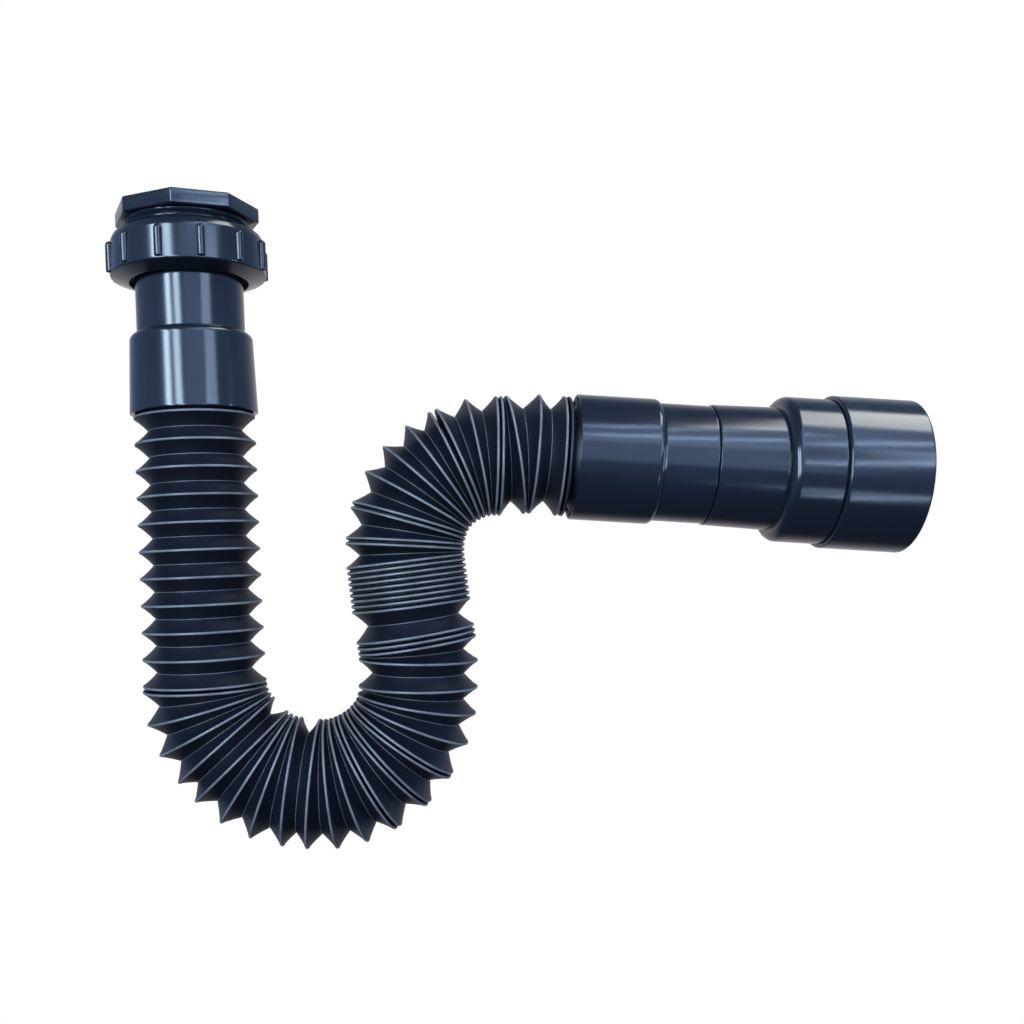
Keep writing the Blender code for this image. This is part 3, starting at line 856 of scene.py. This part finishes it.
@dataclass
class Hose:
    """The inlet spigot in millimetres, and the blow-moulded bellows in metres."""

    shop: Workshop
    graphite: MouldedPolypropylene
    blown: BlownPolyethylene
    tube: float = 20.0
    bore: float = 18.0
    flange: float = 22.2
    flange_top: float = -20.4
    cuff: float = 22.8
    cuff_rim: float = 23.7
    cuff_step: float = 3.6
    cuff_top: float = -47.0
    cuff_mouth: float = -76.8
    cuff_bore: float = 21.7
    crest: float = 0.0225
    root: float = 0.0173
    plain_end: float = 0.0212
    wall: float = 0.0008
    land: float = 0.00070
    bow: float = 0.00025
    shut_gap: float = 0.0031
    shut_raise: float = 0.0042
    raise_rate: float = 4.0
    groove_width: float = 0.0002
    groove_depth: float = 0.00012
    # The thin pale line in each root is a painted highlight.
    root_highlight: float = 0.8
    # The last crest keeps only a little of its painted highlight, as painted shade inside the collar's mouth.
    last_crest_highlight: float = 0.1
    crest_wall: float = 0.0012
    neck: float = 0.0016
    sleeve_length: float = 0.0240
    mouth_step: float = 0.003
    bellows_top: float = -0.0509
    first_crest: float = -0.0781
    swell_size: float = 0.08
    swell_first: int = 7
    swell_last: int = 32
    shut: float = 0.0019
    pressed: float = 0.0018
    stacked: float = 0.0021
    ajar: float = 0.0030
    slack: float = 0.0073
    half: float = 0.0094
    open: float = 0.0100
    outer: float = 0.0116
    wide: float = 0.0125

    def folds(self) -> list[tuple[int, float, float]]:
        """The folds in order as (how many, gap on the outer side of the U, gap on its inner side)."""
        shut, pressed, stacked, ajar, slack = self.shut, self.pressed, self.stacked, self.ajar, self.slack
        half, full, outer, wide = self.half, self.open, self.outer, self.wide
        return [
            (10, full, full), (1, stacked, pressed), (3, wide, pressed), (1, half, slack),
            (3, wide, pressed), (1, half, slack), (3, outer, pressed), (1, stacked, pressed),
            (1, wide, pressed), (1, shut, pressed), (1, outer, pressed), (1, shut, pressed),
            (1, wide, pressed), (1, outer, stacked), (1, full, ajar), (1, full, full), (1, half, shut),
            (2, stacked, stacked), (1, full, outer), (7, stacked, stacked), (1, pressed, stacked),
            (1, shut, half), (1, pressed, stacked), (1, shut, outer), (1, pressed, stacked),
            (1, shut, wide), (2, shut, outer), (1, shut, full), (1, shut, ajar), (2, shut, outer),
            (1, pressed, shut), (1, half, shut), (1, pressed, wide), (1, full, half), (1, stacked, pressed),
        ]

    def build(self) -> Axis:
        """Builds and dresses the spigot and the bellows.

        Returns:
            The axis of the outlet, whose height 0 is at the collar's mouth.
        """
        self.spigot()
        crests = self.walk()
        bellows = self.shop.skin("bellows_hose", self.sections(crests), self.blown.material(), 88, 180.0)
        last = Axis(crests[-1].centre, crests[-1].turn)
        mouth = last.origin + last.along * self.mouth_step
        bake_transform(bellows)
        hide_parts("bellows")
        LOG.info("%s bends between hose and outlet, %d faces", bellows.name, len(bellows.data.polygons))
        return Axis(mouth, last.turn)

    def spigot(self) -> None:
        """Makes the flange, the tube and the cuff in one moulding."""
        shoulder = self.cuff - self.tube
        corners = [
            Corner(self.flange, self.flange_top, 0.3),
            Corner(self.flange, self.flange_top - 2.5, 0.3),
            Corner(self.tube, self.flange_top - 2.5, 0.3),
            Corner(self.tube, self.cuff_top + 0.25),
            *arc(self.tube, self.cuff_top - shoulder, shoulder, 84.0, 0.0),
            Corner(self.cuff, self.cuff_top - 3.3),
            Corner(self.cuff_rim, self.cuff_mouth, 0.45),
            Corner(self.cuff_bore, self.cuff_mouth, 0.4),
            Corner(self.cuff_bore, self.cuff_top - self.cuff_step, 0.3),
            Corner(self.bore, self.cuff_top - self.cuff_step, 0.3),
            Corner(self.bore, self.flange_top, 0.3),
        ]
        plastic = self.graphite.material()
        piece = self.shop.turned("inlet_spigot_fine", Axis(Vector(), 0.0), corners, plastic, 160)
        ride(piece, "hose", self.graphite.slot, "inlet_spigot")

    def swell(self, number: int) -> float:
        """How much wider the hose stands across the U at a crest, as a factor."""
        if not self.swell_first < number < self.swell_last:
            return 1.0
        share = (number - self.swell_first) / (self.swell_last - self.swell_first)
        return 1.0 + self.swell_size * math.sin(math.pi * share) ** 2

    def walk(self) -> list[Section]:
        """Follows the folds from the cuff.

        Returns:
            Each crest's section in order.
        """
        centre = Vector((0.0, 0.0, self.first_crest))
        turn = 0.0
        number = 1
        crests = [Section(centre.copy(), turn, self.crest * self.swell(number), self.crest)]
        for count, outer_gap, inner_gap in self.folds():
            for _ in range(count):
                width = self.crest * (self.swell(number) + self.swell(number + 1))
                bend = (outer_gap - inner_gap) / width
                heading = turn + bend / 2
                centre += Vector((math.sin(heading), 0.0, -math.cos(heading))) * (outer_gap + inner_gap) / 2
                turn += bend
                number += 1
                crests.append(Section(centre.copy(), turn, self.crest * self.swell(number), self.crest))
        return crests

    def beside(self, section: Section, step: float, drop: float, crest: float = 0.0) -> Section:
        """A section parallel to another.

        Args:
            section: The other section.
            step: How far along it stands.
            drop: How much smaller its half widths are.
            crest: How much of a crest it is.

        Returns:
            The new section.
        """
        return Section(
            section.centre + Axis(section.centre, section.turn).along * step,
            section.turn,
            section.half_plane - drop,
            section.half_across - drop,
            crest,
        )

    def between(self, first: Section, second: Section, share: float, drop: float) -> Section:
        """A section part of the way from one to another, drawn in by a little."""
        return Section(
            first.centre.lerp(second.centre, share),
            first.turn + (second.turn - first.turn) * share,
            first.half_plane + (second.half_plane - first.half_plane) * share - drop,
            first.half_across + (second.half_across - first.half_across) * share - drop,
        )

    def raised(self, first: Section, second: Section, side: float) -> float:
        """How far the root between two crests is pushed out on one side, where they are shut on each other.

        Args:
            first: The first crest.
            second: The second crest.
            side: 1 for the side towards +X of a hose that hangs down, -1 for the other.

        Returns:
            The distance.
        """
        tips = [section.centre + section.outward * section.half_plane * side for section in (first, second)]
        gap = (tips[0] - tips[1]).length
        return min(self.shut_raise, max(0.0, self.shut_gap - gap) * self.raise_rate)

    def sections(self, crests: list[Section]) -> list[Section]:
        """Every section of the bellows as one closed run: down its outside and back up its inside.

        Args:
            crests: The crests' sections.

        Returns:
            The sections.
        """
        top = Section(Vector((0.0, 0.0, self.bellows_top)), 0.0, self.plain_end, self.plain_end)
        foot = Section(Vector((0.0, 0.0, self.first_crest + self.neck)), 0.0, self.plain_end, self.plain_end)
        # The land's middle sections carry the painted highlight, which fades to none at the land's edges.
        half_land = ((0.40, 0.00006, 1.0), (0.64, 0.00022, 0.05), (1.0, 0.00060, 0.0))
        whole_land = [(-step, drop, share) for step, drop, share in reversed(half_land)] + [*half_land]
        slope = ((0.24, self.bow / 2), (0.60, self.bow))
        # The root's middle section carries a thin painted highlight.
        groove = (
            (-self.groove_width, -self.groove_depth, 0.0),
            (0.0, 0.0, self.root_highlight),
            (self.groove_width, -self.groove_depth, 0.0),
        )
        narrow = self.root / self.crest
        outside = [top, foot]
        inside = [self.beside(top, 0.0, self.wall), self.beside(foot, 0.0, self.wall)]
        last = crests[-1]
        for index, crest in enumerate(crests):
            # Most of the last crest's painted highlight is taken away, which paints the collar mouth's shade
            # on it.
            highlight_strength = self.last_crest_highlight if crest is last else 1.0
            for step, drop, share in whole_land:
                outside.append(self.beside(crest, step * self.land, drop, share * highlight_strength))
            inside.append(self.beside(crest, 0.0, self.crest_wall))
            if crest is last:
                continue
            following = crests[index + 1]
            middle = self.between(crest, following, 0.5, 0.0)
            inner = self.raised(crest, following, 1.0)
            outer = self.raised(crest, following, -1.0)
            root = Section(
                middle.centre + middle.outward * (inner - outer) / 2,
                middle.turn,
                middle.half_plane * narrow + (inner + outer) / 2,
                middle.half_across * narrow,
            )
            outside += [self.between(crest, root, share, drop) for share, drop in slope]
            outside += [self.beside(root, step, drop, share) for step, drop, share in groove]
            outside += [self.between(following, root, share, drop) for share, drop in reversed(slope)]
            inside.append(self.beside(root, 0.0, self.wall))
        sleeve = self.crest - self.plain_end
        for step, drop in (
            (self.shut, self.crest - self.root),
            (self.shut + 0.0020, sleeve),
            (self.sleeve_length, sleeve),
        ):
            outside.append(self.beside(last, step, drop))
            inside.append(self.beside(last, step, drop + self.wall))
        return [*outside, *reversed(inside), top]


@dataclass
class Outlet:
    """The rigid outlet: collar, neck, socket, lip seal and cap. Sizes are in millimetres."""

    shop: Workshop
    graphite: MouldedPolypropylene
    rubber: FineGrained
    axis: Axis
    collar: float = 23.5
    collar_bore: float = 21.7
    collar_foot: float = -31.0
    tube: float = 22.1
    tube_foot: float = -50.0
    tail: float = 20.3
    tail_foot: float = -68.0
    bore: float = 18.3
    hose_stop: float = -21.3
    neck_top: float = -50.3
    socket_top: float = -74.6
    socket: float = 27.2
    socket_foot: float = -94.0
    barrel: float = 26.4
    barrel_foot: float = -115.8
    pipe_bore: float = 25.2
    tail_bore: float = 20.6
    pipe_stop: float = 2.2
    cap: float = 28.6
    cap_top: float = -94.3
    cap_foot: float = -124.3
    cap_lip: float = 1.4
    seal_top: float = -116.1
    seal_foot: float = -122.6

    def build(self) -> None:
        """Builds and dresses every piece of the outlet."""
        plastic = self.graphite.material()
        for name, corners in (
            ("outlet_collar", self.collar_outline()),
            ("socket_body", self.socket_outline()),
            ("socket_cap", self.cap_outline()),
        ):
            piece = self.shop.turned(f"{name}_fine", self.axis, corners, plastic, 160)
            ride(piece, "outlet", self.graphite.slot, name)
        seal = self.shop.turned("lip_seal_fine", self.axis, self.seal_outline(), self.rubber.material())
        ride(seal, "outlet", self.rubber.slot, "lip_seal")

    def collar_outline(self) -> list[Corner]:
        """The collar on the hose's end with its tube and its tail."""
        return [
            Corner(self.collar, 0.0, 0.22),
            *arc(self.collar - 2.6, self.collar_foot + 2.6, 2.6, 0.0, -65.0),
            Corner(self.tube, self.collar_foot, 0.15),
            Corner(self.tube, self.tube_foot, 0.3),
            Corner(self.tail, self.tube_foot, 0.2),
            Corner(self.tail, self.tail_foot, 0.4),
            Corner(self.bore, self.tail_foot, 0.4),
            Corner(self.bore, self.hose_stop, 0.3),
            Corner(self.collar_bore, self.hose_stop, 0.3),
            Corner(self.collar_bore, -4.0, 1.0),
            Corner(22.9, 0.0, 0.15),
        ]

    def socket_outline(self) -> list[Corner]:
        """The neck, the socket's shoulder and the barrel for the drain pipe."""
        return [
            Corner(22.6, self.neck_top, 0.3),
            Corner(23.1, self.socket_top, 0.2),
            *arc(self.socket - 3.6, self.socket_top - 3.6, 3.6, 88.0, 0.0),
            Corner(self.socket, self.socket_foot, 0.3),
            Corner(self.barrel, self.socket_foot, 0.2),
            Corner(self.barrel, self.barrel_foot, 0.3),
            Corner(self.pipe_bore, self.barrel_foot, 0.3),
            Corner(self.pipe_bore, self.socket_top - self.pipe_stop, 0.4),
            Corner(self.tail_bore, self.socket_top - self.pipe_stop, 0.3),
            Corner(self.tail_bore, self.neck_top, 0.2),
        ]

    def cap_outline(self) -> list[Corner]:
        """The cap that holds the seal, open for the pipe."""
        return [
            Corner(self.cap, self.cap_top, 1.0),
            Corner(self.cap, self.cap_foot, 0.6),
            Corner(25.4, self.cap_foot, 0.4),
            Corner(25.4, self.cap_foot + self.cap_lip, 0.3),
            Corner(self.barrel + 0.3, self.cap_foot + self.cap_lip, 0.2),
            Corner(self.barrel + 0.3, self.cap_top, 0.3),
        ]

    def seal_outline(self) -> list[Corner]:
        """The rubber ring with its lip."""
        return [
            Corner(self.barrel, self.seal_top, 0.3),
            Corner(self.barrel, self.seal_foot, 0.3),
            Corner(self.pipe_bore, self.seal_foot, 0.2),
            Corner(24.6, -119.35, 0.4),
            Corner(self.pipe_bore, self.seal_top, 0.2),
        ]


@dataclass
class Studio:
    """A white surround, soft strips of light and the camera."""

    centre: tuple[float, float, float] = (0.10, 0.0, -0.13)
    surround: float = 4.0
    floor_height: float = -0.8
    lens: float = 37.62
    camera_place: tuple[float, float, float] = (0.08651, -0.4038, -0.13522)
    camera_roll: float = 2.3
    camera_shift: tuple[float, float] = (0.080, 0.047)

    def build(self) -> None:
        """Sets up the surround, the world, the lights and the camera."""
        self.backdrop()
        self.world()
        self.lights()
        self.camera()

    def backdrop(self) -> None:
        """Makes the floor and the surround, which only the camera sees."""
        white = bpy.data.materials.new("white_paper")
        white.use_nodes = True
        tree = white.node_tree
        tree.nodes.clear()
        glow = add(tree, "ShaderNodeEmission", {"Color": (1.0, 1.0, 1.0, 1.0), "Strength": 1.0})
        add(tree, "ShaderNodeOutputMaterial", {"Surface": glow})
        shape = bmesh.new()
        bmesh.ops.create_icosphere(shape, subdivisions=4, radius=self.surround)
        dome = place_shape("studio_surround", shape, white)
        shape = bmesh.new()
        bmesh.ops.create_circle(shape, cap_ends=True, segments=96, radius=self.surround * 0.95)
        ground = place_shape("studio_floor", shape, white)
        ground.location = (0.0, 0.0, self.floor_height)
        for piece in (dome, ground):
            piece.visible_diffuse = False
            piece.visible_glossy = False
            piece.visible_transmission = False
            piece.visible_shadow = False

    def world(self) -> None:
        """Lights the object softly: a cool sky over a dark floor, and paler behind the object."""
        world = bpy.data.worlds.new("studio")
        bpy.context.scene.world = world
        world.use_nodes = True
        tree = world.node_tree
        way = add(tree, "ShaderNodeTexCoord").outputs["Generated"]
        apart = add(tree, "ShaderNodeSeparateXYZ", {0: way}).outputs
        rise = add(tree, "ShaderNodeMapRange", {0: apart["Z"], 1: -1.0, 2: 1.0})
        sky = add(tree, "ShaderNodeValToRGB", {0: rise})
        stops = sky.color_ramp.elements
        stops[0].position, stops[0].color = 0.18, (0.05, 0.06, 0.09, 1.0)
        stops[1].position, stops[1].color = 0.95, (0.12, 0.16, 0.24, 1.0)
        blues = ((0.27, (0.18, 0.28, 0.48)), (0.57, (0.24, 0.38, 0.66)), (0.72, (0.26, 0.40, 0.62)))
        for place, colour in blues:
            stops.new(place).color = (*colour, 1.0)
        share = add(tree, "ShaderNodeMapRange", {0: apart["Y"], 1: 0.55, 2: 0.95})
        shade = add(tree, "ShaderNodeMix", {"Factor": share, 6: sky, 7: linear("d9d3d6")}, data_type="RGBA")
        tree.links.new(shade.outputs[2], tree.nodes["Background"].inputs["Color"])
        bpy.context.scene.view_settings.view_transform = "Standard"

    def light(
        self,
        name: str,
        azimuth: float,
        elevation: float,
        size: tuple[float, float],
        glow: float,
        tint: str = "c8e4ff",
        reach: float = 1.5,
        lean: float = 0.0,
    ) -> None:
        """Adds a flat panel of light that faces the object.

        Args:
            name: Its name.
            azimuth: Where it stands, 0 at the camera and 90 towards +X.
            elevation: Its angle above the horizon.
            size: Its width and height in metres.
            glow: How bright its face is, 1 being white.
            tint: Its colour.
            reach: How far off it stands, in metres.
            lean: How far its top leans to the camera's left, in degrees.
        """
        panel = bpy.data.lights.new(name, "AREA")
        panel.shape = "RECTANGLE"
        panel.size, panel.size_y = size
        panel.energy = glow * math.pi * size[0] * size[1]
        panel.color = linear(tint)[:3]
        turn = math.radians(azimuth)
        rise = math.radians(elevation)
        way = Vector((math.sin(turn) * math.cos(rise), -math.cos(turn) * math.cos(rise), math.sin(rise)))
        lamp = bpy.data.objects.new(name, panel)
        lamp.location = Vector(self.centre) + way * reach
        leaning = Quaternion((0.0, 0.0, 1.0), math.radians(lean))
        lamp.rotation_euler = (way.to_track_quat("Z", "Y") @ leaning).to_euler()
        lamp.visible_camera = False
        bpy.context.scene.collection.objects.link(lamp)

    def lights(self) -> None:
        """Hangs the strips and the panels."""
        self.light("strip_left_far", -35.0, 11.0, (0.22, 1.2), 27.0, lean=24.0)
        self.light("strip_left_near", -16.5, 11.0, (0.26, 1.2), 20.0, lean=22.0)
        self.light("panel_front", 12.0, 14.0, (0.8, 1.2), 1.8, "a9c6f4")
        self.light("panel_right", 42.0, 17.4, (0.50, 0.46), 7.5, "b4cff6")
        self.light("panel_sky", 34.0, 42.0, (1.3, 0.8), 2.2, "a9c6f4")
        self.light("strip_right_far", 79.0, -2.0, (0.05, 0.65), 48.0, "b4cff6")
        self.light("strip_cap_upper", 38.3, 34.2, (0.36, 0.04), 24.0, "b4cff6", lean=28.0)
        self.light("strip_cap_middle", 28.8, 9.4, (0.40, 0.04), 26.0, "b8d4f6", lean=44.0)
        self.light("strip_cap_low", 30.3, -35.5, (0.36, 0.04), 24.0, "b8d4f6", lean=70.0)
        self.light("strip_socket_low", 24.2, -33.4, (0.28, 0.05), 9.0, "b8d4f6", lean=65.0)
        self.light("strip_tube_upper", 27.0, 41.0, (0.56, 0.045), 22.0, "b4cff6", lean=31.0)
        self.light("strip_tube_high", 40.0, 57.3, (0.70, 0.045), 13.0, "b4cff6", lean=27.0)
        self.light("panel_overhead", 80.0, 55.0, (0.72, 0.30), 9.5, "eef4f4")
        self.light("panel_overhead_left", 80.0, 63.0, (0.75, 0.12), 7.0, "eef4f4")

    def camera(self) -> None:
        """Places the camera where the photograph was taken from."""
        data = bpy.data.cameras.new("camera")
        data.lens = self.lens
        data.sensor_width = 36.0
        data.shift_x, data.shift_y = self.camera_shift
        camera = bpy.data.objects.new("camera", data)
        roll = math.radians(self.camera_roll)
        right = Vector((math.cos(roll), 0.0, -math.sin(roll)))
        up = Vector((math.sin(roll), 0.0, math.cos(roll)))
        turned = Matrix((right, up, Vector((0.0, -1.0, 0.0)))).transposed()
        camera.matrix_world = Matrix.Translation(self.camera_place) @ turned.to_4x4()
        bpy.context.scene.collection.objects.link(camera)
        bpy.context.scene.camera = camera


def main() -> None:
    """Builds every sub-assembly in order."""
    shop = Workshop()
    upright = MouldedPolypropylene("moulded_polypropylene_inlet", Slot.GRAPHITE, "0f1219", 0.16)
    blown = BlownPolyethylene("blown_polyethylene", Slot.BELLOWS, "090c16", 0.48)
    slip = FineGrained("natural_nylon", Slot.SLIP, "6c7078", 0.38)
    rubber = FineGrained("nitrile_rubber", Slot.RUBBER, "17171a", 0.62)
    LOG.info("union")
    Union(shop, upright, slip, rubber).build()
    LOG.info("hose")
    axis = Hose(shop, upright, blown).build()
    lying = MouldedPolypropylene("moulded_polypropylene_outlet", Slot.GRAPHITE, "0f1219", 0.16, axis.turn)
    LOG.info("outlet")
    Outlet(shop, lying, rubber, axis).build()
    LOG.info("studio")
    Studio().build()


if __name__ == "__main__":
    main()
